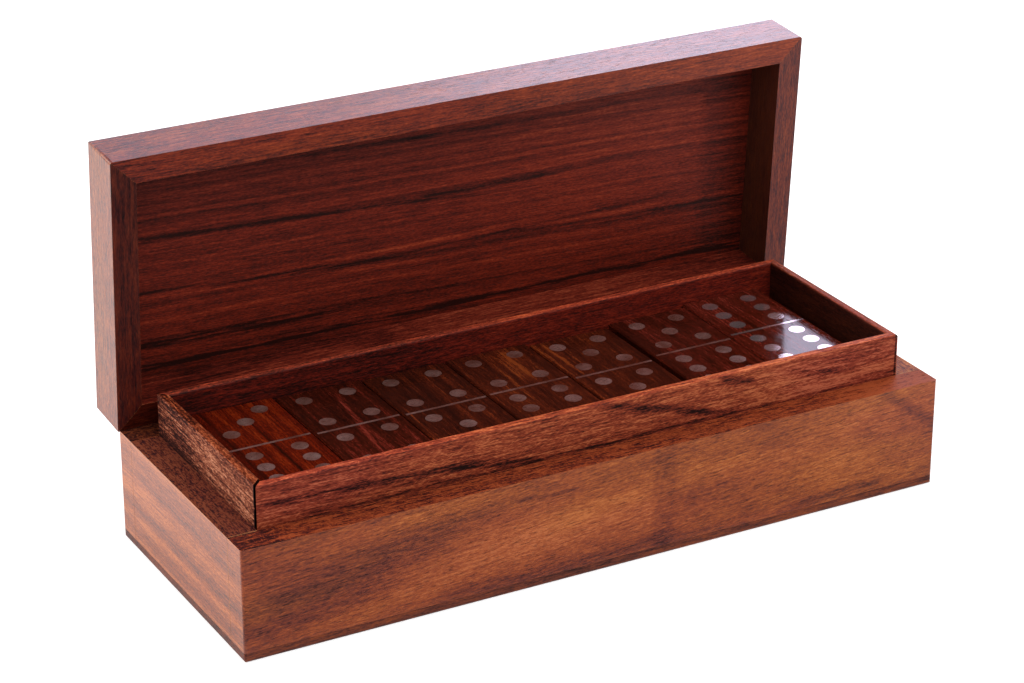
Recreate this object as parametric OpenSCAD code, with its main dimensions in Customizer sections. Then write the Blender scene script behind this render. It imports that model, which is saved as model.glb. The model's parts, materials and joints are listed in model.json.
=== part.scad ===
// Domino storage box: a hardwood base and a hinged lid that closes down over a raised inner lining,
// holding a double-six set of twenty-eight tiles in four layers of seven.
// Millimetres. +X runs along the box, -Y is its front, +Z is up.
// The origin is the centre of the underside. The lid is modelled standing open, against its stop.

/* [Dominoes] */
// Length of a tile
tile_l = 50; // [46:0.5:60]
// Width of a tile
tile_w = 25; // [23:0.5:32]
// Thickness of a tile
tile_t = 8.6; // [6:0.1:12]
// Width of the bevel along a tile's edges
tile_bevel = 0.4; // [0.1:0.1:1]
// Diameter of a pip
pip_d = 4.6; // [3:0.1:5.6]
// Thickness of the metal let into a tile
inlay_t = 0.8; // [0.4:0.1:2]
// Width of the bar across the middle of a tile
bar_w = 0.9; // [0.5:0.1:2]
// Flat wood left between the end of the bar and the bevel
bar_end = 0.2; // [0.1:0.1:2]
// From the outer pips' centres to the long edge of the tile
pip_side = 6.1; // [4:0.1:7.5]
// From the end pips' centres to the end of the tile, and from the inner ones to the middle
pip_end = 5.3; // [4:0.1:6]

/* [Packing] */
// Gap between neighbouring tiles
tile_gap = 0.3; // [0.1:0.1:1]
// Space between the lining and the first column of tiles
left_room = 3.4; // [0.5:0.1:8]
// Space between the last column of tiles and the lining
right_room = 4.9; // [0.5:0.1:8]
// Extra gap left before the last two columns
loose_gap = 1.3; // [0:0.1:4]
// Spare room across the box, beside the length of a tile
spare_w = 6.4; // [1:0.1:12]
// From the top layer of tiles up to the top of the lining
headroom = 6.6; // [2:0.1:15]
// How far a lifted tile rises clear of the lining
lift_clear = 4; // [1:0.5:10]

/* [Base] */
// Thickness of the base's walls
wall_t = 8.1; // [7:0.1:12]
// Thickness of the bottom board
board_t = 2.6; // [2:0.1:6]
// Thickness of the lining boards
lining_t = 2.7; // [2:0.1:5]
// How far the lining stands up out of the base
lining_proud = 12.2; // [6:0.1:20]
// Rounding of the lining's top edges
lining_edge_r = 0.7; // [0.2:0.1:0.9]
// How far the lining's left board falls short at its front mitre
mitre_gap = 1.2; // [0.1:0.1:2]
// Rounding of the outer edges of the base and the lid
edge_r = 0.8; // [0.3:0.1:1.2]

/* [Lid] */
// How far the lid stands out past each end of the base
lid_over = 0.5; // [0:0.1:1]
// Thickness of the lid's panel
panel_t = 1.8; // [1.5:0.1:4]
// Width of the ledge that carries the panel
panel_ledge = 2.4; // [1:0.1:3]
// Gap round the panel in its rebate
panel_gap = 0.1; // [0.05:0.05:0.4]
// Room between the top of the lining and the closed lid's panel
lid_top_gap = 1.4; // [0.3:0.1:5]
// Room between the lining and the lid's front rail as the lid swings past it
swing_gap = 0.15; // [0.1:0.05:0.6]
// Angle between the closed lid and the lid standing open
open_angle = 86.3; // [80:0.1:95]

/* [Hinges] */
// Length of a hinge
hinge_l = 18; // [14:0.5:30]
// From the end of the box to the near end of its hinge
hinge_inset = 28; // [20:1:40]
// How far the pin's axis lies inside the back of the box
axis_inset = 0.65; // [0.4:0.05:0.9]
// Thickness of a leaf
leaf_t = 0.8; // [0.6:0.05:1.2]
// How far a leaf lies below the wood's surface
leaf_sink = 0.1; // [0.05:0.05:0.3]
// Wood left between a leaf and the inner face of the lid's rail
leaf_land = 0.9; // [0.4:0.1:2]
// Diameter of the hinge's barrel
barrel_d = 3; // [2.6:0.1:4]
// Diameter of the pin
pin_d = 1.4; // [1:0.1:1.6]
// Radial play between the pin and its knuckles
pin_play = 0.05; // [0.02:0.01:0.09]
// Gap between two knuckles, and round the metal let into the wood
hinge_gap = 0.15; // [0.1:0.05:0.3]
// Diameter of the pin's head
pin_head_d = 2.1; // [1.8:0.1:2.5]
// Thickness of the pin's head
pin_head_t = 0.4; // [0.3:0.1:0.8]
// Gap between the faces that stop the open lid
stop_gap = 0.05; // [0.02:0.01:0.1]

/* [Screws] */
// Diameter of a hinge screw's shank
screw_d = 1.2; // [0.8:0.1:1.6]
// Diameter of its countersunk head
screw_head_d = 2.4; // [2:0.1:2.6]
// Length of the screw, from the top of its head to its point
screw_l = 6; // [4:0.5:8]
// Length of its point
screw_point_l = 1.2; // [0.6:0.1:2]
// From the end of the hinge to the middle of its screw
screw_inset = 3.2; // [2.4:0.1:5]
// Width of the slot in the head
slot_w = 0.35; // [0.2:0.05:0.6]
// Radial play of the shank in the leaf and the wood
screw_play = 0.02; // [0.01:0.01:0.06]

/* [Hidden] */
top_pips = 6;
columns = 7;
layers = 4;
last_tight_column = 4;
// where each column lies across the box, from -1 at the front lining to 1 at the back lining
column_lean = [0.75, 0.4, 0.15, 0.25, -0.3, 0.35, 0.93];

function tile_name(far, near) = str("domino_", far, "_", near);

inner_l = left_room + columns * tile_w + (columns - 1) * tile_gap + loose_gap + right_room;
inner_w = tile_l + spare_w;
box_l = inner_l + 2 * (lining_t + wall_t);
box_w = inner_w + 2 * (lining_t + wall_t);
lining_top = board_t + layers * tile_t + headroom;
base_h = lining_top - lining_proud;
lid_depth = lining_proud + lid_top_gap;
lid_h = lid_depth + panel_t;
lid_l = box_l + 2 * lid_over;

// the lid turns about the pins, which lie in the plane where it meets the base
axis_y = box_w / 2 - axis_inset;
lining_swing_r = lining_edge_r
    + norm([axis_y + box_w / 2 - wall_t - lining_edge_r, lining_proud - lining_edge_r]);
rail_t = axis_y + box_w / 2 - lining_swing_r - swing_gap;
stop_start = axis_inset + stop_gap;
stop_drop = stop_start * tan(open_angle / 2);

hinge_x = box_l / 2 - hinge_inset - hinge_l / 2;
knuckle_l = (hinge_l - 2 * hinge_gap) / 3;
leaf_w = rail_t - axis_inset - leaf_land;
barrel_notch_r = barrel_d / 2 + hinge_gap;
screw_x = hinge_l / 2 - screw_inset;
screw_y = -(barrel_notch_r + leaf_w) / 2;
screw_head_h = (screw_head_d - screw_d) / 2;

past = 1;
$fn = 48;

// ---- outlines and blanks ----

module rounded_rectangle(a, b, r) {
    square([a - 2 * r, b], center = true);
    square([a, b - 2 * r], center = true);
    for (i = [-1, 1], j = [-1, 1])
        translate([i * (a / 2 - r), j * (b / 2 - r)])
            circle(r);
}

// a block on the XY plane whose outer edges are all rounded
module rounded_block(l, w, h, r) {
    intersection() {
        linear_extrude(h)
            rounded_rectangle(l, w, r);
        along_x(l)
            translate([0, h / 2])
                rounded_rectangle(w, h, r);
        along_y(w)
            translate([0, h / 2])
                rounded_rectangle(l, h, r);
    }
}

module bevelled_rectangle(a, b, c) {
    x = a / 2;
    y = b / 2;
    polygon([
        [x - c, -y], [x, c - y], [x, y - c], [x - c, y],
        [c - x, y], [-x, y - c], [-x, c - y], [c - x, -y]
    ]);
}

// a block on the XY plane whose edges are all bevelled
module bevelled_block(l, w, h, c) {
    intersection() {
        linear_extrude(h)
            bevelled_rectangle(l, w, c);
        along_x(l)
            translate([0, h / 2])
                bevelled_rectangle(w, h, c);
        along_y(w)
            translate([0, h / 2])
                bevelled_rectangle(l, h, c);
    }
}

// extrude an outline drawn in Y and Z, centred along X
module along_x(l) {
    rotate([90, 0, 90])
        linear_extrude(l, center = true)
            children();
}

// extrude an outline drawn in X and Z, centred along Y
module along_y(l) {
    rotate([90, 0, 0])
        linear_extrude(l, center = true)
            children();
}

// side 0 is the front, 1 the right, 2 the back and 3 the left, each drawn as the front one
module on_side(side, l, w) {
    rotate([0, 0, 90 * side])
        translate([0, -(side % 2 == 0 ? w : l) / 2, 0])
            children();
}

// keep what lies between the mitres of a board of length l and thickness t
module mitred(l, t, h, right_short = 0) {
    intersection() {
        children();
        linear_extrude(h)
            polygon([
                [-l / 2, 0], [l / 2 - right_short, 0],
                [l / 2 - right_short - t, t], [t - l / 2, t]
            ]);
    }
}

// ---- base ----

module base_blank() {
    rounded_block(box_l, box_w, base_h + 2 * edge_r, edge_r);
}

module bottom_board() {
    color("#7a3b22")
        intersection() {
            base_blank();
            translate([0, 0, board_t / 2])
                cube([box_l, box_w, board_t], center = true);
        }
}

module base_front() {
    color("#9a5030")
        intersection() {
            base_blank();
            translate([-box_l / 2, -box_w / 2, board_t])
                cube([box_l, wall_t, base_h - board_t]);
        }
}

// the back wall, with its top outer edge cut away for the open lid to rest against
module base_back() {
    color("#8a4429")
        difference() {
            intersection() {
                base_blank();
                along_x(box_l)
                    polygon([
                        [box_w / 2 - wall_t, board_t], [box_w / 2, board_t],
                        [box_w / 2, base_h - stop_drop], [box_w / 2 - stop_start, base_h],
                        [box_w / 2 - wall_t, base_h]
                    ]);
            }
            at_hinges()
                leaf_recess(-1);
        }
}

module base_end(side) {
    intersection() {
        base_blank();
        on_side(side, box_l, box_w)
            translate([wall_t - box_w / 2, 0, board_t])
                cube([box_w - 2 * wall_t, wall_t, base_h - board_t]);
    }
}

module base_right() {
    color("#8f4a2c")
        base_end(1);
}

module base_left() {
    color("#b0735a")
        base_end(3);
}

// ---- lining ----

module lining_outline() {
    h = lining_top - board_t;
    r = lining_edge_r;
    square([lining_t, h - r]);
    translate([r, 0])
        square([lining_t - 2 * r, h]);
    for (y = [r, lining_t - r])
        translate([y, h - r])
            circle(r);
}

module lining_board(side, short = 0) {
    l = inner_l + 2 * lining_t;
    w = inner_w + 2 * lining_t;
    board_l = side % 2 == 0 ? l : w;
    translate([0, 0, board_t])
        on_side(side, l, w)
            mitred(board_l, lining_t, lining_top, short)
                along_x(board_l)
                    lining_outline();
}

module lining_front() {
    color("#a5562f")
        lining_board(0);
}

module lining_right() {
    color("#6d3420")
        lining_board(1);
}

module lining_back() {
    color("#8c3f24")
        lining_board(2);
}

module lining_left() {
    color("#a07a62")
        lining_board(3, mitre_gap);
}

// ---- lid, drawn closed on its own underside and then swung open ----

module swung_open() {
    translate([0, axis_y, base_h])
        rotate([-open_angle, 0, 0])
            translate([0, -axis_y, 0])
                children();
}

module lid_blank() {
    translate([0, 0, -2 * edge_r])
        rounded_block(lid_l, box_w, lid_h + 2 * edge_r, edge_r);
}

// what is cut away along the lid's back edge, where it meets the base's stop
module lid_stop_cut() {
    along_x(lid_l + 2 * past)
        polygon([
            [box_w / 2 - stop_start, -past], [box_w / 2 + past, -past],
            [box_w / 2 + past, stop_drop], [box_w / 2, stop_drop],
            [box_w / 2 - stop_start, 0]
        ]);
}

// a rail of the lid, with a ledge for the panel along its inner top edge
module lid_rail(side) {
    rail_l = side % 2 == 0 ? lid_l : box_w;
    difference() {
        intersection() {
            lid_blank();
            on_side(side, lid_l, box_w)
                mitred(rail_l, rail_t, lid_h)
                    along_x(rail_l)
                        polygon([
                            [0, 0], [rail_t, 0], [rail_t, lid_depth],
                            [rail_t - panel_ledge, lid_depth], [rail_t - panel_ledge, lid_h],
                            [0, lid_h]
                        ]);
        }
        lid_stop_cut();
    }
}

module lid_front() {
    color("#a06a58")
        swung_open()
            lid_rail(0);
}

module lid_right() {
    color("#6b3a2c")
        swung_open()
            lid_rail(1);
}

module lid_left() {
    color("#c09a88")
        swung_open()
            lid_rail(3);
}

// the rail that carries the hinges
module lid_back() {
    color("#6f3a26")
        swung_open()
            difference() {
                lid_rail(2);
                translate([0, 0, -base_h])
                    at_hinges()
                        leaf_recess(1);
            }
}

module lid_panel() {
    inset = 2 * (rail_t - panel_ledge + panel_gap);
    color("#5a2418")
        swung_open()
            translate([0, 0, lid_depth + panel_t / 2])
                cube([lid_l - inset, box_w - inset, panel_t], center = true);
}

// ---- hinges, drawn closed about the pin's axis: up is 1 for the lid's leaf, -1 for the base's ----

module at_hinges() {
    for (side = [-1, 1])
        at_hinge(side)
            children();
}

module at_hinge(side) {
    translate([side * hinge_x, axis_y, base_h])
        children();
}

module rod(d, l) {
    rotate([0, 90, 0])
        cylinder(h = l, d = d, center = true);
}

// a flat strip beside the axis, from z0 to z1 away from the plane where lid and base meet
module leaf_strip(l, w, up, z0, z1) {
    translate([-l / 2, -w, up > 0 ? z0 : -z1])
        cube([l, w, z1 - z0]);
}

// the hole in the wood for a leaf, the barrel and the screws
module leaf_recess(up) {
    deep = leaf_sink + leaf_t;
    leaf_strip(hinge_l + 2 * hinge_gap, leaf_w + hinge_gap, up, -past, deep);
    translate([0, axis_inset + past, 0])
        leaf_strip(hinge_l + 2 * hinge_gap, axis_inset + 2 * past, up, -past, deep);
    rod(2 * barrel_notch_r, hinge_l + 2 * (pin_head_t + hinge_gap));
    at_screws(up)
        screw_shape(screw_play);
}

module knuckle(x) {
    translate([x, 0, 0])
        rod(barrel_d, knuckle_l);
}

// the lid's leaf carries the middle knuckle, the base's leaf the two outer ones
module leaf(up) {
    own = up > 0 ? [0] : [-1, 1];
    others = up > 0 ? [-1, 1] : [0];
    step = knuckle_l + hinge_gap;
    difference() {
        union() {
            difference() {
                leaf_strip(hinge_l, leaf_w, up, leaf_sink, leaf_sink + leaf_t);
                for (i = others)
                    translate([i * step, 0, 0])
                        rod(2 * barrel_notch_r, knuckle_l + 2 * hinge_gap);
            }
            for (i = own)
                knuckle(i * step);
        }
        rod(pin_d + 2 * pin_play, hinge_l + 2 * past);
        at_screws(up)
            screw_shape(screw_play);
    }
}

module pin() {
    rod(pin_d, hinge_l + 2 * pin_head_t);
    for (side = [-1, 1])
        translate([side * (hinge_l + pin_head_t) / 2, 0, 0])
            rod(pin_head_d, pin_head_t);
}

module at_screws(up) {
    for (side = [-1, 1])
        translate([side * screw_x, screw_y, up * leaf_sink])
            rotate([up > 0 ? 180 : 0, 0, 0])
                children();
}

// a countersunk screw that points down from the origin, made larger all round by play
module screw_shape(play = 0) {
    r = screw_d / 2 + play;
    rotate_extrude()
        polygon([
            [0, 0], [screw_head_d / 2 + play, 0], [r, -screw_head_h],
            [r, screw_point_l - screw_l], [0, -screw_l - play]
        ]);
}

module screw() {
    slot_depth = screw_head_h / 2;
    difference() {
        screw_shape();
        translate([0, 0, past / 2 - slot_depth])
            cube([screw_head_d + past, slot_w, past], center = true);
    }
}

module base_leaf(side) {
    color("#b08d4a")
        at_hinge(side)
            leaf(-1);
}

module lid_leaf(side) {
    color("#b08d4a")
        swung_open()
            translate([0, 0, -base_h])
                at_hinge(side)
                    leaf(1);
}

module hinge_pin(side) {
    color("#c9a860")
        at_hinge(side)
            pin();
}

module left_hinge_base_leaf() {
    base_leaf(-1);
}

module right_hinge_base_leaf() {
    base_leaf(1);
}

module left_hinge_lid_leaf() {
    lid_leaf(-1);
}

module right_hinge_lid_leaf() {
    lid_leaf(1);
}

module left_hinge_pin() {
    hinge_pin(-1);
}

module right_hinge_pin() {
    hinge_pin(1);
}

module base_leaf_screws() {
    color("#d0b070")
        at_hinges()
            at_screws(-1)
                screw();
}

module lid_leaf_screws() {
    color("#d0b070")
        swung_open()
            translate([0, 0, -base_h])
                at_hinges()
                    at_screws(1)
                        screw();
}

// ---- dominoes ----

// the pips of a half tile, as columns and rows from -1 to 1, with the rows counted towards its end;
// a three is drawn up towards the end
function pip_pattern(n) = n == 3 ? [[1, 1], [0, 0.25], [-1, -0.5]] : concat(
    n % 2 == 1 ? [[0, 0]] : [],
    n >= 2 ? [[-1, -1], [1, 1]] : [],
    n >= 4 ? [[-1, 1], [1, -1]] : [],
    n == 6 ? [[-1, 0], [1, 0]] : []
);

// a double-six set in order, 0-0 to 6-6, fills the layers from the bottom left
function tile_place(far, near) = (2 * top_pips + 3 - far) * far / 2 + near - far;

function column_x(column) =
    left_room - inner_l / 2 + tile_w / 2 + column * (tile_w + tile_gap)
    + (column > last_tight_column ? loose_gap : 0);

module half_pips(n, side) {
    row_pitch = (tile_l / 2 - 2 * pip_end) / 2;
    for (p = pip_pattern(n))
        translate([p[0] * (tile_w / 2 - pip_side), side * (tile_l / 4 + p[1] * row_pitch), 0])
            children();
}

// the metal let into the top of a tile, and with a little play the pockets that hold it
module inlays(far, near, play = 0) {
    t = inlay_t + (play > 0 ? past : 0);
    translate([0, 0, tile_t - inlay_t]) {
        translate([0, 0, t / 2])
            cube([tile_w - 2 * (tile_bevel + bar_end - play), bar_w + 2 * play, t], center = true);
        half_pips(far, 1)
            cylinder(h = t, d = pip_d + 2 * play);
        half_pips(near, -1)
            cylinder(h = t, d = pip_d + 2 * play);
    }
}

module domino(far, near) {
    place = tile_place(far, near);
    column = place % columns;
    layer = floor(place / columns);
    inlay_play = 0.02;
    translate([column_x(column), column_lean[column] * spare_w / 2, board_t + layer * tile_t]) {
        color("#4a1e14")
            difference() {
                bevelled_block(tile_w, tile_l, tile_t, tile_bevel);
                inlays(far, near, inlay_play);
            }
        color("#b9a9a6")
            inlays(far, near);
    }
}

bottom_board();
base_front();
base_back();
base_left();
base_right();
lining_front();
lining_back();
lining_left();
lining_right();
lid_front();
lid_back();
lid_left();
lid_right();
lid_panel();
left_hinge_base_leaf();
left_hinge_lid_leaf();
left_hinge_pin();
right_hinge_base_leaf();
right_hinge_lid_leaf();
right_hinge_pin();
base_leaf_screws();
lid_leaf_screws();
for (far = [0:top_pips])
    for (near = [far:top_pips])
        domino(far, near);
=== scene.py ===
"""Looks of the domino storage box: rosewood, metal-inlaid tiles, brass hinges, studio light and camera."""

import json
import math
import random

import bmesh
import bpy
from mathutils import Matrix, Vector


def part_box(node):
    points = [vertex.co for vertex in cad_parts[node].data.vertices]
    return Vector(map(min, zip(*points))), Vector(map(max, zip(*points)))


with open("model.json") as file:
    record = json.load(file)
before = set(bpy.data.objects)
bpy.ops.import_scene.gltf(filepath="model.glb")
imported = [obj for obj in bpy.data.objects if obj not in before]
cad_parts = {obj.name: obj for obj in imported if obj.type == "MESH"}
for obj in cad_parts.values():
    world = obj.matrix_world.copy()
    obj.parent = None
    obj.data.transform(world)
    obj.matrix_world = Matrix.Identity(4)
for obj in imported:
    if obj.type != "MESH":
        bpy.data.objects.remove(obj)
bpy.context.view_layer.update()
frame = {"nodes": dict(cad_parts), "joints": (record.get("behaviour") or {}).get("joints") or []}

MM = 0.001
# a vector's factors from metres to millimetres
TO_MM = (1 / MM,) * 3

# The camera, from the photograph: its direction, its distance from the middle of the base, its sideways
# and upward offset, its lens on a sensor this wide, and the nearest and furthest that it sees.
AZIMUTH, ELEVATION, ROLL = math.radians(-28.81), math.radians(24.01), math.radians(0.03)
CAMERA_DISTANCE = 841.6 * MM
CAMERA_OFFSET = (-6.21 * MM, 31.27 * MM)
LENS = 109.38
SENSOR = 36.0
CAMERA_CLIP = (0.05, 30.0)

nodes = frame["nodes"]
lid_joint = next(j for j in frame["joints"] if j["child"] == "lid")
HINGE = Vector(lid_joint["pos_m"])
LID_TILT = math.radians(lid_joint["range_deg"][0])
BASE_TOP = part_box("base_front")[1].z

# The frame's axes, and the ways that faces look. While the lid stands open, OPEN_TOP is the way of its front
# and RIM that of its rim. IN_MITRE is that of the left lining board's cut face in its open mitre, which is
# painted near black as shadow.
X, Y, Z = 0, 1, 2
UP, FRONT, LEFT, RIGHT = (0.0, 0.0, 1.0), (0.0, -1.0, 0.0), (-1.0, 0.0, 0.0), (1.0, 0.0, 0.0)
OPEN_TOP = (0.0, -math.cos(LID_TILT), math.sin(-LID_TILT))
RIM = (0.0, -math.sin(-LID_TILT), -math.cos(LID_TILT))
IN_MITRE = (math.sqrt(0.5), -math.sqrt(0.5), 0.0)
# how nearly a face looks a way, as a cosine, to count as that side of its board
SAME_WAY = 0.99

# How an edge is eased: its width, the least angle that counts as an edge, and how near vertices are welded.
ARRIS = 0.15 * MM
EDGE_ANGLE = math.radians(35)
WELD_DISTANCE = 0.002 * MM
# how near two corners lie to count as one, and a face to the top of its tile to lie in it
SAME_CORNER = 0.001 * MM
SAME_LEVEL = 0.01 * MM


# ---- shader nodes ----

class Graph:
    """Adds nodes to one shader tree. An input is a value or another node's output."""

    def __init__(self, tree):
        self.tree = tree

    def node(self, kind, inputs=None, **settings):
        made = self.tree.nodes.new("ShaderNode" + kind)
        for name, value in settings.items():
            setattr(made, name, value)
        for name, value in (inputs or {}).items():
            if isinstance(value, bpy.types.NodeSocket):
                self.tree.links.new(value, made.inputs[name])
            else:
                made.inputs[name].default_value = value
        return made

    def math(self, operation, a, b=0.0, c=0.0):
        return self.node("Math", {0: a, 1: b, 2: c}, operation=operation).outputs[0]

    def swing(self, middle, noise, amount):
        """A value that a noise moves about its middle."""
        return self.math("MULTIPLY_ADD", self.math("SUBTRACT", noise, 0.5), amount, middle)

    def scaled(self, vector, scale):
        return self.node("VectorMath", {0: vector, 1: scale}, operation="MULTIPLY").outputs[0]

    def turned(self, vector, angle):
        return self.node("Mapping", {"Vector": vector, "Rotation": (0.0, 0.0, angle)}).outputs[0]

    def split(self, vector):
        return self.node("SeparateXYZ", {0: vector}).outputs

    def noise(self, vector, rates, detail, roughness, distortion=0.0):
        """Noise with so many cycles to each of the vector's units, in each of its directions."""
        inputs = {"Vector": self.scaled(vector, rates), "Scale": 1.0, "Detail": detail,
                  "Roughness": roughness, "Distortion": distortion}
        return self.node("TexNoise", inputs).outputs["Fac"]

    def line_noise(self, w, detail, roughness):
        inputs = {"W": w, "Scale": 1.0, "Detail": detail, "Roughness": roughness}
        return self.node("TexNoise", inputs, noise_dimensions="1D").outputs["Fac"]

    def remap(self, value, low, high, to_low=0.0, to_high=1.0):
        inputs = {"Value": value, "From Min": low, "From Max": high, "To Min": to_low, "To Max": to_high}
        return self.node("MapRange", inputs, interpolation_type="SMOOTHSTEP").outputs[0]

    def ramp(self, value, stops):
        made = self.node("ValToRGB", {"Fac": value})
        elements = made.color_ramp.elements
        while len(elements) < len(stops):
            elements.new(0.5)
        for element, (position, colour) in zip(elements, stops):
            element.position = position
            element.color = (*colour, 1.0)
        return made.outputs["Color"]

    def blend(self, factor, a, b, mode="MIX"):
        """Two colours mixed by a factor. A colour is an output or (red, green, blue)."""
        a, b = (c if isinstance(c, bpy.types.NodeSocket) else (*c, 1.0) for c in (a, b))
        # the node's sockets 6 and 7 and its output 2 are the ones for colours
        made = self.node("Mix", {0: factor, 6: a, 7: b}, data_type="RGBA", blend_type=mode)
        return made.outputs[2]

    def tinted(self, colour, tint):
        return self.blend(1.0, colour, tint, "MULTIPLY")

    def place(self):
        """The point's place on its piece in metres, the same at every pose."""
        return self.node("TexCoord").outputs["Object"]


def new_material(name):
    material = bpy.data.materials.new(name)
    material.use_nodes = True
    material.node_tree.nodes.clear()
    return material, Graph(material.node_tree)


def finish_material(graph, shader):
    graph.node("OutputMaterial", {"Surface": shader})


# ---- wood ----

# Rosewood's colours at tones 0, 0.25, 0.5, 0.75 and 1, from its near-black veins to its palest streaks.
CASE_TONES = [(0.030, 0.010, 0.009), (0.128, 0.031, 0.019), (0.250, 0.056, 0.018),
              (0.375, 0.092, 0.021), (0.520, 0.155, 0.038)]
RED_TONES = [(0.018, 0.004, 0.002), (0.060, 0.009, 0.004), (0.120, 0.016, 0.006),
             (0.190, 0.030, 0.010), (0.290, 0.065, 0.020)]
LINING_TONES = [(0.014, 0.004, 0.003), (0.085, 0.013, 0.007), (0.188, 0.028, 0.011),
                (0.290, 0.057, 0.021), (0.450, 0.122, 0.046)]
TAN_TONES = [(0.020, 0.007, 0.005), (0.090, 0.025, 0.013), (0.190, 0.055, 0.023),
             (0.350, 0.128, 0.054), (0.580, 0.290, 0.135)]
ORANGE_TONES = [(0.010, 0.002, 0.0005), (0.036, 0.0028, 0.0006), (0.073, 0.0045, 0.0008),
                (0.135, 0.011, 0.0015), (0.230, 0.030, 0.005)]
EBONY_TONES = [(0.008, 0.002, 0.001), (0.018, 0.003, 0.0012), (0.036, 0.0052, 0.0017),
               (0.090, 0.0125, 0.0035), (0.210, 0.040, 0.008)]
BLOOD_TONES = [(0.008, 0.002, 0.001), (0.018, 0.0025, 0.001), (0.036, 0.0045, 0.0015),
               (0.095, 0.010, 0.005), (0.190, 0.026, 0.016)]
# what the wood's colour is multiplied by where it blushes, and in its pores
BLUSH_TINT = (0.96, 0.86, 1.10)
PORE_TINT = (0.30, 0.25, 0.25)
# how far the finest relief stands out of the wood and how much of it the fibres are, how much rougher the
# pores are, and the refraction of the varnish
WOOD_RELIEF = 0.12 * MM
FIBRE_HEIGHT = 0.8
PORE_ROUGHNESS = 0.15
VARNISH_IOR = 1.5

# The wood's noises: cycles to a millimetre along, across and through the board, then the noise's detail,
# roughness and distortion.
WANDER = ((0.010, 0.035, 0.035), 2.0, 0.5)
STREAKINESS = ((0.010, 0.45, 0.45), 4.0, 0.65, 0.2)
CLOUDS = ((0.018, 0.055, 0.055), 3.0, 0.55, 0.5)
WARP = ((0.035, 0.12, 0.12), 3.0, 0.6)
RAGGEDNESS = ((0.04, 0.9, 0.9), 3.0, 0.6)
FIBRES = ((0.15, 1.8, 1.8), 2.0, 0.7)
SPECKLE = ((0.9, 3.4, 3.4), 1.0, 0.5)
SAW_MARKS = ((0.22, 3.2, 1.0), 2.0, 0.6)
BLUSH = ((0.012, 0.05, 0.05), 2.0, 0.5)
PORES = ((0.30, 3.0, 3.0), 2.0, 0.6)
# the detail and roughness of the growth rings
RINGS = (5.0, 0.65)
# the angles of the saw marks to the grain, in radians
SAW_ANGLES = (0.55, -0.70)
# the values of a noise from which it starts to count, and from which it counts in full
SAW_MARK_RANGE = (0.56, 0.72)
BLUSH_RANGE = (0.42, 0.60)
PORE_RANGE = (0.56, 0.70)
# the same for how nearly a face looks the way that is shaded, as a cosine
SHADE_RANGE = (0.6, 0.95)
# in mm, how far apart in the noises the boards are cut, and how far across and below them the pith lies
CUT_RANGE = (-900, 900)
PITH_ACROSS = (-30, 30)
PITH_BELOW = (35, 80)
# pale arrises, a painted highlight made to look like rubbed wood: the noise of their colour in each
# millimetre, and which colour lies at which value of it
ARRIS_HIGHLIGHT_NOISE = ((0.4, 0.4, 0.4), 4.0, 0.7)
ARRIS_HIGHLIGHT_COLOURS = [(0.35, (0.13, 0.04, 0.02)), (0.60, (0.48, 0.22, 0.08))]


def own_millimetres(graph, piece):
    """The board's millimetres as (along the grain, across it, through it). A board of the lid has those of
    the closed lid, from the hinge's axis."""
    at = graph.place()
    if piece["on_lid"]:
        inputs = {"Vector": at, "Location": HINGE, "Rotation": (LID_TILT, 0.0, 0.0)}
        at = graph.node("Mapping", inputs, vector_type="TEXTURE").outputs[0]
    parts = graph.split(graph.scaled(at, TO_MM))
    inputs = {i: parts[axis] for i, axis in enumerate(piece["axes"])}
    return graph.node("CombineXYZ", inputs).outputs[0]


def streak_group():
    """A node group for one streak: how strongly it covers a point (along, across) of a board, from 0 to 1."""
    tree = bpy.data.node_groups.new("streak", "ShaderNodeTree")
    for socket in ("Along", "Across", "Middle", "Place", "Rise", "Sag", "Reach", "Width"):
        tree.interface.new_socket(socket, in_out="INPUT", socket_type="NodeSocketFloat")
    tree.interface.new_socket("Cover", in_out="OUTPUT", socket_type="NodeSocketFloat")
    graph = Graph(tree)
    given = tree.nodes.new("NodeGroupInput").outputs
    run = graph.math("SUBTRACT", given["Along"], given["Middle"])
    lift = graph.math("MULTIPLY", run, graph.math("MULTIPLY_ADD", run, given["Sag"], given["Rise"]))
    off = graph.math("SUBTRACT", given["Across"], graph.math("ADD", given["Place"], lift))
    near = graph.remap(graph.math("DIVIDE", graph.math("ABSOLUTE", off), given["Width"]), 1.0, 0.0)
    within = graph.remap(graph.math("DIVIDE", graph.math("ABSOLUTE", run), given["Reach"]), 1.0, 0.5)
    result = tree.nodes.new("NodeGroupOutput")
    tree.links.new(graph.math("MULTIPLY", near, within), result.inputs["Cover"])
    return tree


STREAK = streak_group()


def log_tone(graph, at, piece):
    """The tone of a log sawn beside its pith: growth rings, the streaks along them and broad clouds."""
    wander = graph.noise(at, *WANDER)
    wander = graph.math("MULTIPLY", graph.math("SUBTRACT", wander, 0.5), piece["wander"])
    parts = graph.split(at)
    across = graph.math("SUBTRACT", parts[1], piece["pith"][0])
    through = graph.math("SUBTRACT", parts[2], piece["pith"][1])
    square = graph.math("MULTIPLY_ADD", across, across, graph.math("MULTIPLY", through, through))
    radius = graph.math("ADD", graph.math("SQRT", square), wander)
    rings = graph.line_noise(graph.math("MULTIPLY", radius, piece["ring_rate"]), *RINGS)
    streaks = graph.noise(at, *STREAKINESS)
    clouds = graph.noise(at, *CLOUDS)
    ring_share, streak_share, cloud_share = piece["shares"]
    tone = graph.math("MULTIPLY_ADD", rings, ring_share, graph.math("MULTIPLY", streaks, streak_share))
    tone = graph.math("MULTIPLY_ADD", clouds, cloud_share, tone)
    return graph.swing(piece["tone"], tone, piece["contrast"])


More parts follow.
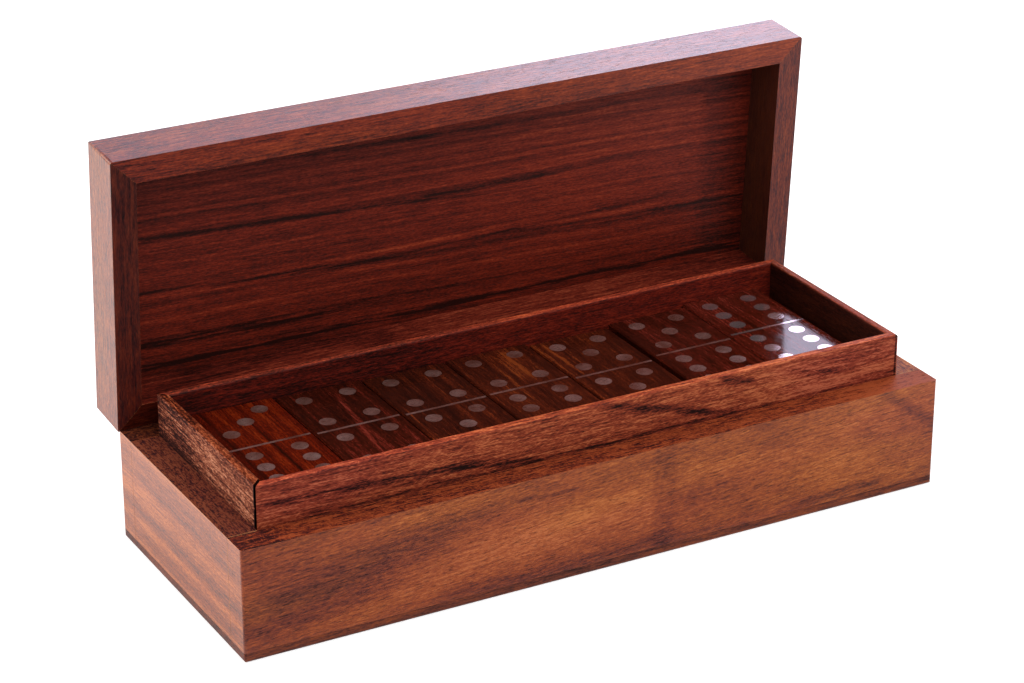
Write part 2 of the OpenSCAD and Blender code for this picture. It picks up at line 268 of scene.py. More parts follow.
def add_streaks(graph, tone, board_at, at, piece):
    """The tone with the streaks that lie at a place on the board, a little bent and ragged. Some are the
    wood's figure; others paint shade and light onto the board.
    """
    if not piece["streaks"]:
        return tone
    where = graph.split(board_at)
    sway = graph.swing(where[1], graph.noise(at, *WARP), piece["sway"])
    ragged = graph.remap(graph.noise(at, *RAGGEDNESS), *piece["ragged"])
    for middle, place, rise, sag, reach, width, change in piece["streaks"]:
        inputs = {"Along": where[0], "Across": sway, "Middle": middle, "Place": place, "Rise": rise,
                  "Sag": sag, "Reach": reach, "Width": width}
        cover = graph.math("MULTIPLY", graph.node("Group", inputs, node_tree=STREAK).outputs[0], ragged)
        tone = graph.math("MULTIPLY_ADD", cover, change, tone)
    return tone


def add_saw_marks(graph, tone, board_at, piece):
    """The tone with the pale marks that a saw leaves across the grain."""
    if piece["scratches"]:
        for angle in SAW_ANGLES:
            lines = graph.noise(graph.turned(board_at, angle), *SAW_MARKS)
            tone = graph.math("MULTIPLY_ADD", graph.remap(lines, *SAW_MARK_RANGE), piece["scratches"], tone)
    return tone


def shade_sides(graph, colour, piece):
    """The colour, multiplied on the sides of the board that the photograph shows darker or lighter: mostly
    painted shade and light, on some sides the wood's own tone.
    """
    for direction, shade in piece["faces"]:
        normal = graph.node("TexCoord").outputs["Normal"]
        facing = graph.node("VectorMath", {0: normal, 1: direction}, operation="DOT_PRODUCT").outputs["Value"]
        colour = graph.blend(graph.remap(facing, *SHADE_RANGE), colour, graph.tinted(colour, shade))
    return colour


def timber(graph, piece):
    """Colour, height and pores of a board."""
    board_at = own_millimetres(graph, piece)
    inputs = {"Vector": board_at, "Rotation": (0.0, 0.0, piece["slope"]), "Location": piece["offset"]}
    at = graph.node("Mapping", inputs).outputs[0]
    tone = log_tone(graph, at, piece)
    tone = add_streaks(graph, tone, board_at, at, piece)
    fibres = graph.noise(at, *FIBRES)
    tone = graph.swing(tone, fibres, piece["fibre"])
    tone = graph.swing(tone, graph.noise(at, *SPECKLE), piece["speckle"])
    tone = add_saw_marks(graph, tone, board_at, piece)

    colour = graph.ramp(tone, [(i / 4, tint) for i, tint in enumerate(piece["tones"])])
    blushing = graph.remap(graph.noise(at, *BLUSH), *BLUSH_RANGE, 0.0, piece["blush"])
    colour = graph.blend(blushing, colour, graph.tinted(colour, BLUSH_TINT))
    pores = graph.remap(graph.noise(at, *PORES), *PORE_RANGE)
    dark = graph.tinted(colour, PORE_TINT)
    colour = graph.blend(graph.math("MULTIPLY", pores, piece["pores"]), colour, dark)
    colour = shade_sides(graph, colour, piece)
    height = graph.math("SUBTRACT", graph.math("MULTIPLY", fibres, FIBRE_HEIGHT), pores)
    return colour, height, pores


def wood_material(name, piece):
    """A board's wood, under as much varnish as its coat."""
    material, graph = new_material(name)
    colour, height, pores = timber(graph, piece)
    inputs = {"Height": height, "Strength": piece["bump"], "Distance": WOOD_RELIEF}
    bump = graph.node("Bump", inputs).outputs[0]
    roughness = graph.math("MULTIPLY_ADD", pores, PORE_ROUGHNESS, piece["roughness"])
    shader = graph.node("BsdfPrincipled", {
        "Base Color": colour, "Roughness": roughness, "Specular IOR Level": piece["gloss"], "Normal": bump,
        "Coat Weight": piece["coat"], "Coat Roughness": piece["coat_roughness"], "Coat IOR": VARNISH_IOR,
        "Coat Normal": bump})
    finish_material(graph, shader.outputs[0])
    return material


def painted_arris_highlight():
    """Pale wood on the arrises, a painted highlight where the edges catch the light, made to look rubbed
    bare.
    """
    material, graph = new_material("painted_arris_highlight")
    arris_pale = graph.noise(graph.scaled(graph.place(), TO_MM), *ARRIS_HIGHLIGHT_NOISE)
    colour = graph.ramp(arris_pale, ARRIS_HIGHLIGHT_COLOURS)
    shader = graph.node("BsdfPrincipled", {"Base Color": colour, "Roughness": 0.5, "Specular IOR Level": 0.3})
    finish_material(graph, shader.outputs[0])
    return material


def board(axes, tones, seed, **changes):
    """What sets one board apart. axes: which of X, Y and Z runs along, across and through it. pith: how far
    across and below the board the tree's middle lies. ring_rate, wander: the cycles of the rings' noise in a
    millimetre, and how far the rings stray. shares: how much of the tone the rings, the streaks of the noise
    and the clouds each make. streaks: where each lies along and across the board in mm, its rise and sag,
    half its length, its width, and how far it makes the tone darker or lighter. sway, ragged: how far the
    streaks bend, and the noise at which they start to cover and at which they cover in full.
    faces: the board's sides whose colour is multiplied, and by what: mostly painted shade and light, on some
    sides the wood's own tone."""
    spread = random.Random(seed)
    piece = {
        "axes": axes, "tones": tones, "on_lid": False, "slope": 0.0, "faces": [],
        "offset": tuple(spread.uniform(*CUT_RANGE) for _ in range(3)),
        "pith": (spread.uniform(*PITH_ACROSS), spread.uniform(*PITH_BELOW)),
        "wander": 14.0, "ring_rate": 0.25, "shares": (0.42, 0.30, 0.28), "contrast": 2.0, "tone": 0.5,
        "streaks": [], "sway": 4.0, "ragged": (0.30, 0.60),
        "fibre": 0.9, "speckle": 0.5, "scratches": 0.0, "blush": 1.0, "pores": 0.6,
        "bump": 0.30, "roughness": 0.40, "gloss": 0.25, "coat": 0.45, "coat_roughness": 0.28,
    }
    piece.update(changes)
    # the pith is given beside the board, which the offset has moved
    piece["pith"] = tuple(p + o for p, o in zip(piece["pith"], piece["offset"][1:]))
    return piece


# ---- each board's wood ----

# what each kind of surface has in common
SAWN = {"roughness": 0.60, "gloss": 0.12, "coat": 0.0, "bump": 0.6, "fibre": 1.4, "pores": 0.5,
        "speckle": 2.0, "scratches": 0.5, "contrast": 1.6}
INSIDE = {"roughness": 0.50, "gloss": 0.05, "coat": 0.0, "on_lid": True, "blush": 0.0}
POLISHED = {"roughness": 0.50, "gloss": 0.0, "coat": 1.0, "coat_roughness": 0.10, "bump": 0.08, "pores": 0.8,
            "fibre": 0.9, "speckle": 0.7, "sway": 2.0, "ring_rate": 0.4, "wander": 8.0, "blush": 0.0}
OUTSIDE = {"tones": CASE_TONES, "streaks": [], "roughness": 0.40, "gloss": 0.25, "coat": 0.45, "blush": 1.0,
           "contrast": 1.4}
# The ledges' streaks are painted reflections: darker at the left end, lighter towards the right end.
LEDGE = {"roughness": 0.55, "gloss": 0.10, "coat": 0.0, "bump": 0.4, "fibre": 2.4, "speckle": 3.0,
         "scratches": 1.3, "pores": 0.7, "blush": 0.3, "contrast": 1.4,
         "streaks": [(-104, 31.4, 0.0, 0.0, 15, 400, -0.5), (104, 31.4, 0.0, 0.0, 36, 400, 0.44),
                     (44, 31.4, 0.0, 0.0, 60, 20, 0.08)]}
FRONT_LEDGE = dict(LEDGE, fibre=3.2, speckle=1.6, scratches=0.6)
SMOOTH_LEDGE = dict(LEDGE, fibre=1.4, speckle=1.2, scratches=0.2, pores=0.3, contrast=0.9)
# The rails' streaks are painted shade and light: darker towards the left, lighter towards the right.
RAIL = {"coat": 0.15, "fibre": 1.5, "speckle": 0.9, "pores": 0.35, "contrast": 1.4,
        "streaks": [(-170, 40, 0.0, 0.0, 150, 400, -0.12), (170, 40, 0.0, 0.0, 165, 400, 0.22)]}
# the shades of the lining's top edge where light falls on it and where it doesn't
LIT, UNLIT = (1.5, 1.45, 1.3), (0.95, 0.64, 0.44)

# Sides with a finish of their own: the board, the side, what changes there, and what the wood's colour is
# multiplied by there: partly the wood's own tone, partly painted shade and a purple painted sheen, strongest
# on the right-hand ledge. They are the tops of the base's walls, the lid's rim and the outside of the lid's
# panel.
CUT_SIDES = {
    "base_front": (UP, FRONT_LEDGE, (0.62, 0.42, 0.54)),
    "base_back": (UP, LEDGE, (0.28, 0.22, 0.32)),
    "base_left": (UP, LEDGE, (0.34, 0.285, 0.56)),
    "base_right": (UP, SMOOTH_LEDGE, (1.20, 1.50, 2.05)),
    "lid_front": (RIM, RAIL, (0.66, 0.37, 0.36)),
    "lid_back": (RIM, RAIL, (0.35, 0.25, 0.25)),
    "lid_left": (RIM, RAIL, (0.26, 0.15, 0.20)),
    "lid_right": (RIM, RAIL, (0.58, 0.46, 0.64)),
    "lid_panel": (-Vector(RIM), OUTSIDE, (1.0, 1.0, 1.0)),
}

# the boards whose arrises get the pale painted highlight: the base's walls and the lid's rails
HIGHLIGHTED_ARRIS_BOARDS = [name for name in CUT_SIDES if name != "lid_panel"]
# the walls whose ends show beside the end walls
LONG_WALLS = ("base_front", "base_back")

# Streaks of the front and left walls and of the lining, with heights above the table. Some paint shade and
# light rather than figure, as noted at each.
FRONT_STREAKS = [
    (-66, 20, 0.20, 0.0, 54, 9.0, -0.17), (-86, 9, 0.15, 0.0, 28, 5.0, -0.14),
    (-100, 16, 0.0, 0.0, 50, 60, -0.10), (-44, 10, 0.12, 0.0, 50, 6.0, 0.14),
    (-14, 17, 0.0, 0.0, 40, 13.0, 0.20), (-62, 28, 0.05, 0.0, 50, 3.0, 0.12),
    (-9, 4, 0.0, 0.0, 52, 3.4, -0.22), (46, 25, -0.05, 0.0, 26, 4.0, -0.06),
    (36, 15, 0.0, 0.0, 16, 6.0, -0.08), (74, 4.5, 0.05, 0.0, 22, 2.6, -0.26),
    (96, 24, -0.70, 0.0, 14, 3.5, -0.26), (84, 12, 0.0, 0.0, 26, 11.0, 0.13),
    (92, 6, 0.0, 0.0, 8, 4.0, 0.14), (17, 15, 0.0, 0.0, 4.5, 60, -0.12),
    (-18, 26, 0.0, 0.0, 12, 1.2, -0.24), (60, 16, 0.03, 0.0, 26, 8.0, 0.08),
    (84, 26, 0.0, 0.0, 36, 12.0, 0.10), (-96, 27, 0.0, 0.0, 20, 8.0, -0.08),
    (-70, 25, 0.0, 0.0, 20, 8.0, 0.06), (34, 24, 0.0, 0.0, 14, 9.0, 0.13),
    (99, 14, 0.0, 0.0, 16, 14.0, -0.06),
]
LEFT_STREAKS = [
    (0, 30.2, 0.0, 0.0, 80, 1.8, 0.08), (0, 26.6, 0.01, 0.0, 80, 1.8, -0.12),
    (0, 22.8, 0.01, 0.0, 80, 2.2, -0.20), (0, 18.6, -0.01, 0.0, 80, 4.2, 0.16),
    (0, 13.2, 0.01, 0.0, 80, 2.8, -0.22), (0, 9.8, 0.0, 0.0, 80, 1.8, 0.20),
    (0, 5.9, 0.0, 0.0, 80, 2.8, -0.16), (0, 3.4, 0.0, 0.0, 80, 0.9, 0.16),
    # (0, 31.2, ...) paints a light line under the wall's top arris, a painted highlight.
    (60, 15, 0.0, 0.0, 60, 60, 0.10), (0, 31.2, 0.0, 0.0, 200, 0.6, 0.3),
]
# (95.4, 38.0, ...) paints the shadow in the open mitre at the right end; (-95, 38, ...) and (90, 38, ...)
# paint the board darker to the left and lighter to the right, as painted shade and light.
LINING_FRONT_FIGURE_AND_SHADING = [
    (-80, 37.2, -0.02, 0.0, 18, 1.5, -0.42), (-52, 36.4, -0.035, 0.0, 26, 2.0, -0.42),
    (-28, 33.6, -0.10, 0.0, 16, 1.5, -0.45), (20, 38.5, -0.28, 0.0, 22, 2.1, -0.40),
    (36, 34.0, -0.15, 0.0, 14, 1.8, -0.34), (44, 41.8, -0.3, 0.0, 7, 1.9, -0.45),
    (72, 38.0, -0.15, 0.0, 16, 1.6, -0.32), (0, 31.8, 0.0, 0.0, 110, 0.9, -0.4),
    (-30, 40.0, 0.02, 0.0, 60, 3.0, 0.06), (80, 34.6, 0.10, 0.0, 18, 2.2, 0.25),
    (60, 41.0, 0.0, 0.0, 40, 2.0, -0.12), (95.4, 38.0, 0.0, 0.0, 0.4, 200, -0.6),
    (-95, 38, 0.0, 0.0, 60, 60, -0.05), (90, 38, 0.0, 0.0, 60, 60, 0.08),
    (48, 37, 0.0, 0.0, 34, 60, 0.12), (-60, 38.0, 0.0, 0.0, 60, 10, 0.08),
]
# (-29.7, 38.0, ...) paints the shadow in the open mitre at the front end, and (-6, 34.6, ...) paints light
# over the foot of the board.
LINING_LEFT_FIGURE_AND_SHADING = [
    (-29.7, 38.0, 0.0, 0.0, 0.6, 200, -2.0), (-18, 38.5, 0.0, 0.0, 26, 3.2, 0.20),
    (-18, 34.4, 0.0, 0.0, 26, 0.9, 0.30), (40, 38.0, 0.0, 0.0, 42, 200, -0.52),
    (0, 36.2, 0.04, 0.0, 50, 0.8, -0.30), (-6, 34.6, 0.0, 0.0, 50, 3.6, 0.22),
]
# Painted shade and light: the back lining darker to the left and lighter to the right.
LINING_BACK_PAINTED_SHADING = [
    (-100, 38, 0.0, 0.0, 120, 60, -0.26), (60, 38, 0.0, 0.0, 90, 60, 0.05),
]
# Streaks of the lid's rails, with heights above its rim, and of its panel, with Y from the hinge's axis and
# negative towards the front.
# Painted light and shade along the lid's front rail: lighter left of the middle, darker at the left end.
LID_FRONT_PAINTED_SHADING = [
    (-40, 40, 0.0, 0.0, 60, 400, 0.06), (-115, 40, 0.0, 0.0, 80, 400, -0.08),
]
# Painted shade and light inside the lid's back rail: lighter in the middle, darker at both ends.
LID_BACK_PAINTED_SHADING = [
    (25, 40, 0.0, 0.0, 50, 400, 0.20), (-90, 40, 0.0, 0.0, 110, 400, -0.25),
    (96, 40, 0.0, 0.0, 34, 400, -0.10),
]
# Besides the figure's thin lines: (0, -8.0, ...) paints shade over the panel by the hinge, (0, -9.0, ...) a
# shadowed line where it meets the back rail, and (93, -40.0, ...) shadow at its right end; (-80, -42.0, ...)
# and (70, -36.0, ...) paint it darker to the left and lighter to the right.
PANEL_FIGURE_AND_SHADING = [
    (-60, -29.6, 0.06, 0.0, 60, 1.1, -0.5), (25, -28.2, -0.01, 0.0, 60, 0.9, -0.5),
    (60, -25.6, 0.04, 0.0, 60, 0.9, -0.5), (-75, -15.6, 0.02, 0.0, 50, 1.6, -0.6),
    (-40, -44.5, 0.06, 0.0, 70, 1.0, -0.4), (10, -43.2, 0.0, 0.0, 32, 1.3, -0.5),
    (-40, -63.6, 0.06, 0.0, 60, 1.2, -0.35), (40, -61.2, 0.0, 0.0, 60, 0.9, -0.25),
    (0, -8.0, 0.0, 0.0, 400, 22, -0.22), (0, -9.0, 0.0, 0.0, 400, 1.2, -0.8),
    (93, -40.0, 0.0, 0.0, 14, 400, -0.30), (60, -58.0, 0.0, 0.0, 70, 34, 0.12),
    (-80, -42.0, 0.0, 0.0, 70, 60, -0.06), (70, -36.0, 0.0, 0.0, 50, 80, 0.05),
    (-50, -27.4, 0.06, 0.0, 50, 1.0, 0.25), (0, -29.8, 0.0, 0.0, 40, 0.8, 0.3),
    (30, -27.0, 0.04, 0.0, 50, 0.8, 0.2), (-60, -36.0, 0.05, 0.0, 60, 1.0, -0.2),
    (50, -15.0, 0.0, 0.0, 60, 11, 0.14), (-18, -38.0, 0.0, 0.0, 34, 13, -0.07),
    (48, -63.0, 0.0, 0.0, 40, 12, 0.07),
]

BOARDS = {
    "bottom_board": board((X, Y, Z), CASE_TONES, 3, tone=0.20, contrast=1.0, coat=0.15, gloss=0.15, blush=0.0,
                          streaks=[(100, -38.9, 0.0, 0.0, 110, 60, 0.15)]),
    "base_front": board((X, Z, Y), CASE_TONES, 11, slope=math.radians(-4), streaks=FRONT_STREAKS,
                        contrast=0.6, tone=0.58, fibre=0.9, speckle=0.8, pores=0.7, ragged=(0.15, 0.45)),
    "base_back": board((X, Z, Y), CASE_TONES, 12),
    "base_left": board((Y, Z, X), CASE_TONES, 13, contrast=0.4, tone=0.60, streaks=LEFT_STREAKS, sway=2.0,
                       pores=0.25, fibre=1.1, speckle=1.1, blush=0.3, ragged=(0.20, 0.50)),
    "base_right": board((Y, Z, X), CASE_TONES, 14),
    "lining_front": board((X, Z, Y), LINING_TONES, 21, streaks=LINING_FRONT_FIGURE_AND_SHADING, faces=[(UP, LIT)],
                          ragged=(0.20, 0.50), sway=3.0,
                          **dict(SAWN, tone=0.54, contrast=1.3, fibre=1.7, speckle=1.0, scratches=0.25)),
    # the back lining's top edge is painted bright, a painted highlight
    "lining_back": board((X, Z, Y), RED_TONES, 22, streaks=LINING_BACK_PAINTED_SHADING,
                         faces=[(UP, (3.1, 3.4, 3.0)), (FRONT, (0.90, 0.50, 0.44))],
                         **dict(SAWN, tone=0.46, contrast=1.1, fibre=1.2, speckle=1.1, scratches=0.15)),
    # the left lining's cut face in its open mitre is painted near black, a painted shadow
    "lining_left": board((Y, Z, X), TAN_TONES, 23, streaks=LINING_LEFT_FIGURE_AND_SHADING, shares=(0.30, 0.50, 0.20),
                         faces=[(UP, UNLIT), (IN_MITRE, (0.05, 0.04, 0.04))],
                         **dict(SAWN, tone=0.45, contrast=2.0, fibre=1.4, speckle=1.7, scratches=0.3,
                                gloss=0.03)),
    # the right lining's top edge is painted light, a painted highlight, and its inner face dark, painted
    # shade
    "lining_right": board((Y, Z, X), RED_TONES, 24,
                          faces=[(UP, (2.4, 3.4, 4.0)), (LEFT, (0.38, 0.46, 0.50))],
                          **dict(SAWN, tone=0.46, contrast=0.65, fibre=0.9, speckle=0.9, scratches=0.15)),
    "lid_front": board((X, Z, Y), CASE_TONES, 31, on_lid=True, contrast=1.0, coat=0.92, fibre=2.2,
                       speckle=1.6, pores=0.6, streaks=LID_FRONT_PAINTED_SHADING,
                       faces=[(OPEN_TOP, (0.74, 0.6, 0.6))]),
    "lid_back": board((X, Z, Y), RED_TONES, 32, tone=0.64, contrast=2.3, fibre=1.4, speckle=1.0,
                      streaks=LID_BACK_PAINTED_SHADING, faces=[(OPEN_TOP, (1.0, 0.86, 1.25))], **INSIDE),
    "lid_left": board((Y, Z, X), CASE_TONES, 33, on_lid=True, contrast=0.8, fibre=1.8, speckle=1.2, pores=0.4,
                      sway=0.0, faces=[(LEFT, (0.80, 0.82, 0.84))]),
    # the inner face of the lid's right rail is painted dark, painted shade in the recess
    "lid_right": board((Y, Z, X), CASE_TONES, 34, on_lid=True, contrast=1.0, coat=0.3,
                       faces=[(LEFT, (0.33, 0.35, 0.52))]),
    "lid_panel": board((X, Y, Z), RED_TONES, 35, ring_rate=0.45, wander=4.0, contrast=1.6,
                       slope=math.radians(-1.5), shares=(0.66, 0.16, 0.18), fibre=0.8, speckle=0.8, pores=0.4,
                       streaks=PANEL_FIGURE_AND_SHADING, sway=2.5, faces=[(RIM, (1.05, 0.66, 0.66))],
                       **dict(INSIDE, gloss=0.22)),
}

# The tiles of the top layer, whose wood the photograph shows.
TILES = {
    "domino_3_6": board((Y, X, Z), ORANGE_TONES, 101, **dict(POLISHED, coat=0.7), streaks=[
        (0, -72.5, 0.02, 0.0, 60, 1.6, 0.35), (0, -68.0, 0.02, 0.0, 60, 1.2, 0.30),
        (0, -76.5, 0.0, 0.0, 60, 1.2, -0.35), (0, -82.0, 0.0, 0.0, 60, 2.0, 0.15),
        (0, -86.5, 0.0, 0.0, 60, 1.2, -0.25)]),
    "domino_4_4": board((Y, X, Z), BLOOD_TONES, 102, tone=0.46, **dict(POLISHED, coat=0.7), streaks=[
        (-2, -52.0, 0.14, 0.0, 30, 1.2, 0.38), (-20, -62.0, 0.10, 0.0, 14, 1.6, 0.24),
        (-18, -48.0, 0.16, 0.0, 16, 1.5, 0.26), (-20, -44.0, 0.20, 0.0, 10, 0.8, 0.24)]),
    "domino_4_5": board((Y, X, Z), EBONY_TONES, 103, tone=0.42, **POLISHED, streaks=[
        (-8, -38.0, 0.05, 0.0, 16, 0.8, 0.40)]),
    "domino_4_6": board((Y, X, Z), EBONY_TONES, 104, tone=0.52, **POLISHED, streaks=[
        (15, 2.0, 0.10, 0.0, 13, 8.0, 0.45), (-10, -6.0, 0.0, 0.0, 22, 5.0, 0.22),
        (-14, 6.0, 0.0, 0.0, 16, 4.0, 0.20), (10, -12.5, 0.0, 0.0, 30, 1.2, 0.25)]),
    "domino_5_5": board((Y, X, Z), EBONY_TONES, 105, **POLISHED, streaks=[
        (12, 14.5, 0.0, 0.0, 14, 1.8, 0.38), (6, 18.5, -0.05, 0.0, 18, 0.9, 0.28),
        (0, 12.0, 0.0, 0.0, 30, 0.8, 0.2)]),
    "domino_5_6": board((Y, X, Z), BLOOD_TONES, 106, tone=0.54, contrast=1.4, **POLISHED),
    "domino_6_6": board((Y, X, Z), BLOOD_TONES, 107, tone=0.66, contrast=1.4, **POLISHED),
}
# the other tiles, hidden below, take turns with these colours and are seeded from this number
HIDDEN_TONES = (EBONY_TONES, BLOOD_TONES)
HIDDEN_SEED = 200


# ---- metals ----

METAL_RELIEF = 0.05 * MM
# The metals' noises, given as the wood's are: the marks of drawing and of filing, and the stains.
INLAY_MARKS = ((0.6, 7.0, 1.0), 3.0, 0.6)
INLAY_STAINS = ((0.12, 0.12, 0.12), 4.0, 0.7)
BRASS_MARKS = ((0.5, 9.0, 9.0), 3.0, 0.6)
BRASS_STAINS = ((0.35, 0.35, 0.35), 4.0, 0.65)
# the values of the marks' noise at which the metal is at its smoothest and its roughest
MARK_RANGE = (0.3, 0.7)


def metal_material(name, marks, stains, colours, roughness, bump, metallic):
    """Metal with fine marks from one noise and stains from another. colours: at which value of the stains'
    noise each colour lies. roughness: the least and the most. bump: how strongly the marks stand out."""
    material, graph = new_material(name)
    at = graph.scaled(graph.place(), TO_MM)
    height = graph.noise(at, *marks)
    colour = graph.ramp(graph.noise(at, *stains), colours)
    relief = graph.node("Bump", {"Height": height, "Strength": bump, "Distance": METAL_RELIEF})
    shader = graph.node("BsdfPrincipled", {
        "Base Color": colour, "Metallic": metallic, "Normal": relief.outputs[0],
        "Roughness": graph.remap(height, *MARK_RANGE, *roughness)})
    finish_material(graph, shader.outputs[0])
    return material


def inlay_metal(name, stained, clean, roughness):
    """Drawn aluminium, ground flush with the wood."""
    colours = [(0.38, stained), (0.66, clean)]
    return metal_material(name, INLAY_MARKS, INLAY_STAINS, colours, roughness, bump=0.12, metallic=0.92)


def hinge_brass():
    """Filed brass, darker where it is stained."""
    colours = [(0.35, (0.36, 0.22, 0.07)), (0.65, (0.70, 0.50, 0.20))]
    return metal_material("hinge_brass", BRASS_MARKS, BRASS_STAINS, colours, (0.24, 0.42), bump=0.15,
                          metallic=1.0)


# ---- dressing the CAD nodes ----

def dress(node, *materials):
    slots = node.data.materials
    slots.clear()
    for material in materials:
        slots.append(material)


def dress_side(node, material, direction):
    """Gives a material of their own to the faces of a node that look that way."""
    node.data.materials.append(material)
    for polygon in node.data.polygons:
        if polygon.normal.dot(Vector(direction)) > SAME_WAY:
            polygon.material_index = len(node.data.materials) - 1


def ease_edges(node):
    """Rounds the arrises of a node a little, so that they catch the light and joints show. They take the
    node's last material."""
    weld = node.modifiers.new("weld", "WELD")
    weld.merge_threshold = WELD_DISTANCE
    bevel = node.modifiers.new("arris", "BEVEL")
    bevel.width = ARRIS
    bevel.segments = 2
    bevel.limit_method = "ANGLE"
    bevel.angle_limit = EDGE_ANGLE
    bevel.harden_normals = True
    bevel.material = len(node.data.materials) - 1


def islands(mesh, polygons):
    """The polygons, grouped by what joins them: each group shares corners within itself alone."""
    owner = {}

    def root(key):
        while owner.setdefault(key, key) != key:
            owner[key] = owner[owner[key]]
            key = owner[key]
        return key

    def corners(polygon):
        return [tuple(round(c / SAME_CORNER) for c in mesh.vertices[i].co) for i in polygon.vertices]

    for polygon in polygons:
        first, *others = corners(polygon)
        for other in others:
            owner[root(other)] = root(first)
    groups = {}
    for polygon in polygons:
        groups.setdefault(root(corners(polygon)[0]), []).append(polygon)
    return list(groups.values())


def mark_inlays(node):
    """Gives slot 1 to the metal: every island of the top face but the largest, which is the wood."""
    mesh = node.data
    top = max(v.co.z for v in mesh.vertices)
    flat = [p for p in mesh.polygons if p.normal.z > SAME_WAY and abs(p.center.z - top) < SAME_LEVEL]
    found = islands(mesh, flat)
    wood = max(found, key=lambda island: sum(p.area for p in island))
    for island in found:
        if island is not wood:
            for polygon in island:
                polygon.material_index = 1


def dress_boards():
    """Gives each board its wood, and the sides that have one their own finish."""
    arris_highlight = painted_arris_highlight()
    woods = {name: wood_material("wood_" + name, piece) for name, piece in BOARDS.items()}
    for name, wood in woods.items():
        node = nodes[name]
        dress(node, wood)
        if name in CUT_SIDES:
            side, finish, shade = CUT_SIDES[name]
            cut = dict(BOARDS[name], **finish, faces=[(side, shade)])
            dress_side(node, wood_material("cut_" + name, cut), side)
        if name in LONG_WALLS:
            # the end walls' figure runs on over the ends of the long walls
            dress_side(node, woods["base_left"], LEFT)
            dress_side(node, woods["base_right"], RIGHT)
        # their arrises take the pale painted highlight
        if name in HIGHLIGHTED_ARRIS_BOARDS:
            node.data.materials.append(arris_highlight)
        ease_edges(node)


def dress_dominoes():
    """Gives each tile its wood and metal. The inlays are tinted pink, a painted reflection of the red lid;
    those of the double six, which lie in the highlight, are paler, a painted highlight, and smoother.
    """
    reflection_tinted_inlay = inlay_metal("inlay_metal", (0.46, 0.23, 0.18), (0.82, 0.62, 0.57), (0.24, 0.42))
    highlight_inlay = inlay_metal("inlay_highlight", (0.62, 0.50, 0.50), (0.82, 0.72, 0.74), (0.12, 0.20))
    for index, name in enumerate(sorted(n for n in nodes if n.startswith("domino_"))):
        hidden = board((Y, X, Z), HIDDEN_TONES[index % len(HIDDEN_TONES)], HIDDEN_SEED + index, **POLISHED)
        metal = highlight_inlay if name == "domino_6_6" else reflection_tinted_inlay
        dress(nodes[name], wood_material("wood_" + name, TILES.get(name, hidden)), metal)
        mark_inlays(nodes[name])


def dress_hinges():
    brass = hinge_brass()
    for name, node in nodes.items():
        if "hinge" in name or "screws" in name:
            dress(node, brass)


# ---- studio ----

WHITE = (1.0, 1.0, 1.0)
SKY_BLUE = (0.74, 0.72, 1.0)
FLOOR_WHITE, FLOOR_DULL = (0.80, 0.80, 0.80), (0.05, 0.05, 0.05)
FLOOR_SIZE = 6.0
FLOOR_GLOW = 0.5
# Where reflections see the floor white: behind this strip of Y, dimmed to this much right of this strip of X,
# which is painted shade of the box on the floor, and more and more from here to there on the right, up to
# this much.
WHITE_BEHIND = (-46 * MM, -36 * MM)
DIMMED_RIGHT = (-140 * MM, -106 * MM, 1.0, 0.74)
WHITE_RIGHT = (50 * MM, 300 * MM, 0.0, 0.90)
# The backdrop in reflections, from one direction's Y or Z to another's: how bright it is from front to back
# and from overhead down, and where it turns bluer upwards.
SWEEP = (-0.15, 0.35, 0.05, 1.0)
OVERHEAD = (0.9, 0.5, 0.4, 1.0)
BLUER = (0.10, 0.45)
# how strongly the studio's air lights the box
AMBIENT = 0.60
# what the lamps are aimed at
LAMP_AIM = Vector((0, 0, 40 * MM))
# Each lamp: its direction and height in degrees, where 0 is behind the box and 90 to its right, its distance
# and size in metres, its power in watts and its colour.
LAMPS = {
    "key_left": (-62, 28, 1.1, (0.9, 0.6), 9.0, (1.0, 0.96, 0.91)),
    "fill_front": (165, 50, 1.3, (0.9, 0.7), 9.0, WHITE),
    "backdrop_right": (51, 25, 1.3, (0.98, 0.75), 5.7, (0.80, 0.77, 1.0)),
}


def floor_material():
    """White as the camera sees it, with the object's shadow. In reflections it is dark in front of the box,
    but for what lies well to the right."""
    material, graph = new_material("floor_white")
    path = graph.node("LightPath").outputs
    at = graph.split(graph.place())
    behind = graph.remap(at[1], *WHITE_BEHIND)
    behind = graph.math("MULTIPLY", behind, graph.remap(at[0], *DIMMED_RIGHT))
    to_right = graph.remap(at[0], *WHITE_RIGHT)
    lit = graph.math("MAXIMUM", behind, to_right)
    seen = graph.math("MAXIMUM", path["Is Camera Ray"], path["Is Transmission Ray"])
    seen = graph.math("MAXIMUM", seen, graph.math("MULTIPLY", path["Is Glossy Ray"], lit))
    dull = graph.math("MULTIPLY", path["Is Glossy Ray"], graph.math("SUBTRACT", 1.0, lit))
    diffuse = graph.node("BsdfDiffuse", {"Color": graph.blend(dull, FLOOR_WHITE, FLOOR_DULL)})
    strength = graph.math("MULTIPLY", seen, FLOOR_GLOW)
    glow = graph.node("Emission", {"Color": (*WHITE, 1.0), "Strength": strength})
    both = graph.node("AddShader", {0: diffuse.outputs[0], 1: glow.outputs[0]})
    finish_material(graph, both.outputs[0])
    return material


def lay_floor():
    mesh = bpy.data.meshes.new("floor")
    work = bmesh.new()
    bmesh.ops.create_grid(work, x_segments=1, y_segments=1, size=FLOOR_SIZE)
    work.to_mesh(mesh)
    work.free()
    mesh.materials.append(floor_material())
    floor = bpy.data.objects.new("floor", mesh)
    bpy.context.scene.collection.objects.link(floor)


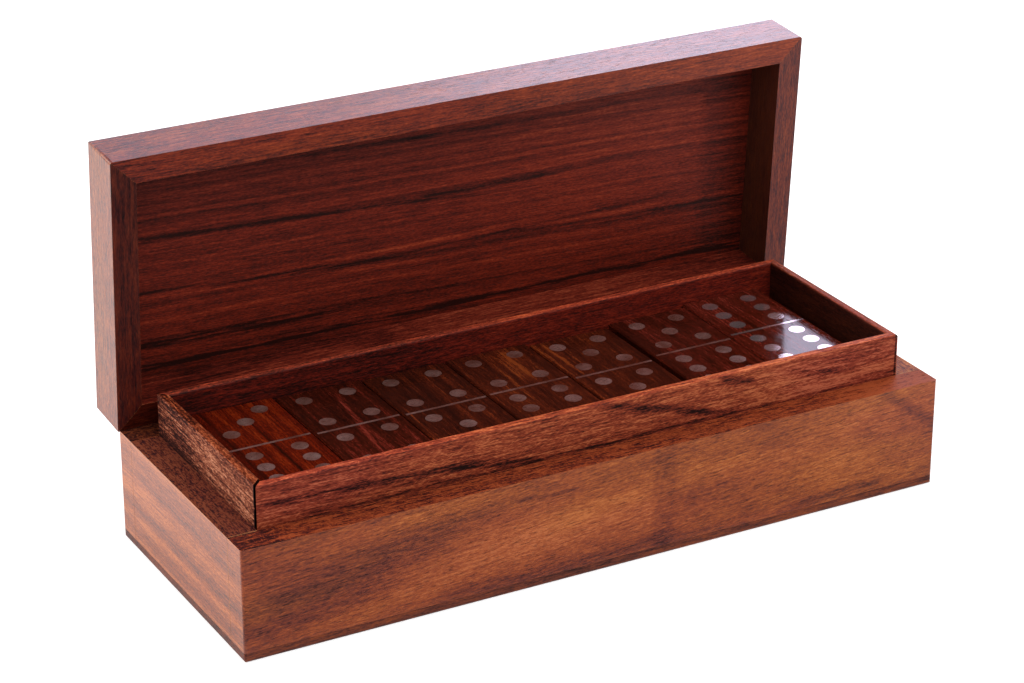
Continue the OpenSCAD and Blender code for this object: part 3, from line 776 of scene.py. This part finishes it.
def hang_backdrop():
    """A white sweep behind the box, which is dark in front of it and overhead as reflections see it."""
    world = bpy.data.worlds.new("studio")
    world.use_nodes = True
    world.node_tree.nodes.clear()
    graph = Graph(world.node_tree)
    path = graph.node("LightPath").outputs
    away = graph.split(graph.node("TexCoord").outputs["Generated"])
    behind = graph.remap(away[1], *SWEEP)
    low = graph.remap(away[2], *OVERHEAD)
    tint = graph.blend(graph.remap(away[2], *BLUER), WHITE, SKY_BLUE)
    tint = graph.blend(path["Is Glossy Ray"], WHITE, tint)
    reflected = graph.math("MULTIPLY", path["Is Glossy Ray"], graph.math("MULTIPLY", behind, low))
    strength = graph.math("MAXIMUM", path["Is Camera Ray"], reflected)
    seen = graph.math("MAXIMUM", path["Is Camera Ray"], path["Is Glossy Ray"])
    strength = graph.math("MULTIPLY_ADD", graph.math("SUBTRACT", 1.0, seen), AMBIENT, strength)
    sky = graph.node("Background", {"Color": tint, "Strength": strength})
    graph.node("OutputWorld", {"Surface": sky.outputs[0]})
    bpy.context.scene.world = world


def hang_lamps():
    """Area lamps aimed at the box."""
    for name, (azimuth, elevation, distance, size, power, colour) in LAMPS.items():
        a, e = math.radians(azimuth), math.radians(elevation)
        away = Vector((math.sin(a) * math.cos(e), math.cos(a) * math.cos(e), math.sin(e)))
        data = bpy.data.lights.new(name, "AREA")
        data.shape = "RECTANGLE"
        data.size, data.size_y = size
        data.energy = power
        data.color = colour
        lamp = bpy.data.objects.new(name, data)
        lamp.location = LAMP_AIM + away * distance
        lamp.rotation_mode = "QUATERNION"
        lamp.rotation_quaternion = away.to_track_quat("Z", "Y")
        bpy.context.scene.collection.objects.link(lamp)


def place_camera():
    back = Vector((math.sin(AZIMUTH) * math.cos(ELEVATION),
                   -math.cos(AZIMUTH) * math.cos(ELEVATION), math.sin(ELEVATION)))
    right = Vector((math.cos(AZIMUTH), math.sin(AZIMUTH), 0.0))
    up = back.cross(right)
    side = right * math.cos(ROLL) + up * math.sin(ROLL)
    head = up * math.cos(ROLL) - right * math.sin(ROLL)
    data = bpy.data.cameras.new("camera")
    data.lens, data.sensor_width = LENS, SENSOR
    data.clip_start, data.clip_end = CAMERA_CLIP
    camera = bpy.data.objects.new("camera", data)
    turn = Matrix((side, head, back)).transposed()
    place = Vector((0, 0, BASE_TOP / 2)) + back * CAMERA_DISTANCE
    place += side * CAMERA_OFFSET[0] + head * CAMERA_OFFSET[1]
    camera.matrix_world = Matrix.Translation(place) @ turn.to_4x4()
    bpy.context.scene.collection.objects.link(camera)
    bpy.context.scene.camera = camera


place_camera()
hang_backdrop()
hang_lamps()
lay_floor()
dress_boards()
dress_dominoes()
dress_hinges()
bpy.context.scene.view_settings.view_transform = "Standard"
